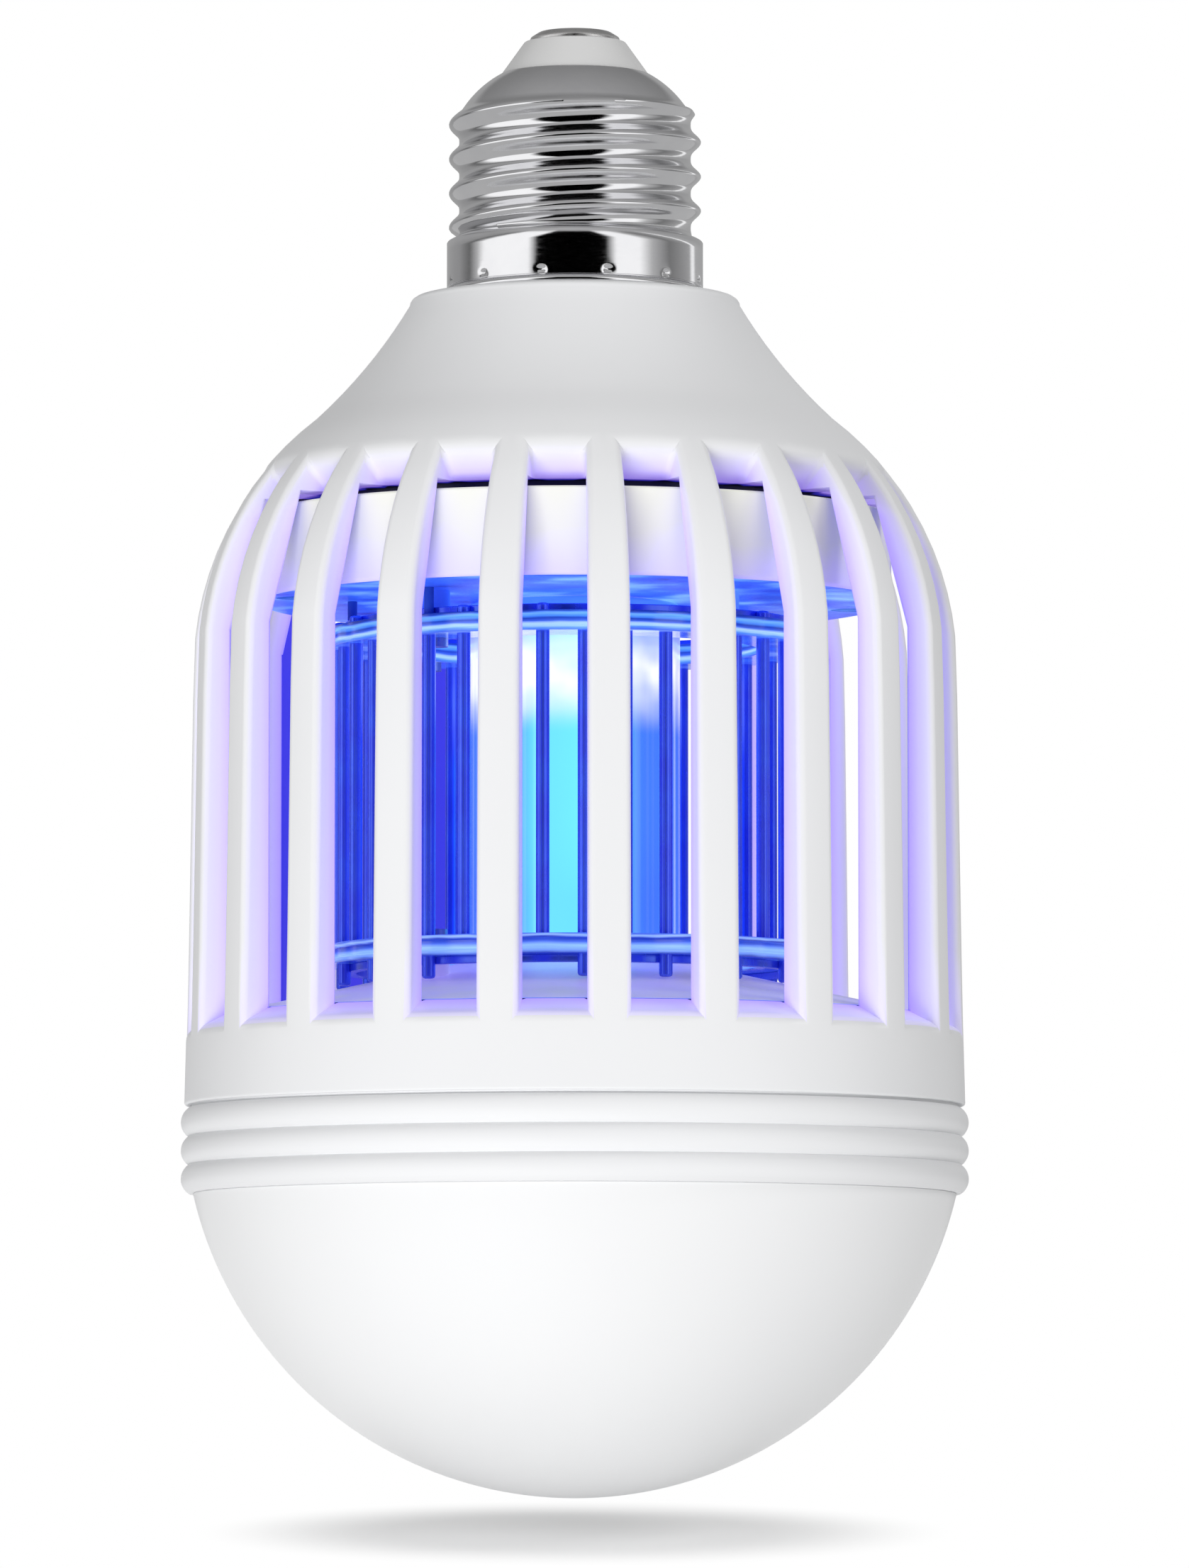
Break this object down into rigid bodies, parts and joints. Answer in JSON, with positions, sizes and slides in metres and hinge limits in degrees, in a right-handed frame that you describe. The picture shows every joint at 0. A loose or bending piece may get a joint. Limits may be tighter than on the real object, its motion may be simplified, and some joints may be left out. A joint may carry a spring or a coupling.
{
  "type": "insect killer light bulb",
  "caption": "White screw-base bulb with a slotted cage round an electric rod grid and a violet lamp, above a beaded collar and a frosted light dome.",
  "frame": {"origin": "centre of the centre contact's flat end face", "axes": "+Z along the bulb axis, out of the screw base and away from the dome; -Y is the side that the picture shows"},
  "size_m": [0.082, 0.082, 0.1538],
  "materials": {
    "white_housing": "satin",
    "plated_shell": "polished",
    "contact_metal": "satin",
    "white_insulator": "gloss",
    "inner_plastic": "satin",
    "grid_plastic": "satin",
    "grid_steel": "satin",
    "lamp_clear": "gloss",
    "violet_chip": "gloss",
    "light_chip": "satin",
    "opal_dome": "satin",
    "board": "satin",
    "plate_metal": "satin",
    "ferrite": "matte",
    "winding_tape": "satin",
    "can_sleeve": "gloss",
    "film_case": "satin",
    "fuse_coat": "matte",
    "lead_jacket": "satin",
    "screw_steel": "satin"
  },
  "bodies": {
    "root": {"centre_contact": "contact_metal", "base_insulator": "white_insulator", "screw_shell": "plated_shell", "cage_housing": "white_housing", "upper_tray": "inner_plastic", "tray_screws": "screw_steel", "grid_top_ring": "grid_plastic", "grid_bottom_ring": "grid_plastic", "live_grid": "grid_steel", "return_grid": "grid_steel", "grid_screws": "screw_steel", "lamp_tube": "lamp_clear", "lamp_board": "board", "lamp_leds": "violet_chip", "lower_deck": "inner_plastic", "light_collar": "white_housing", "led_plate": "plate_metal", "led_chips": "light_chip", "plate_screws": "screw_steel", "diffuser_dome": "opal_dome", "driver_board": "board", "transformer_core": "ferrite", "transformer_winding": "winding_tape", "smoothing_capacitors": "can_sleeve", "film_capacitors": "film_case", "multiplier_capacitors": "film_case", "fuse_resistor": "fuse_coat", "contact_lead": "lead_jacket", "shell_lead": "lead_jacket", "light_leads": "lead_jacket", "grid_leads": "lead_jacket"}
  },
  "joints": []
}
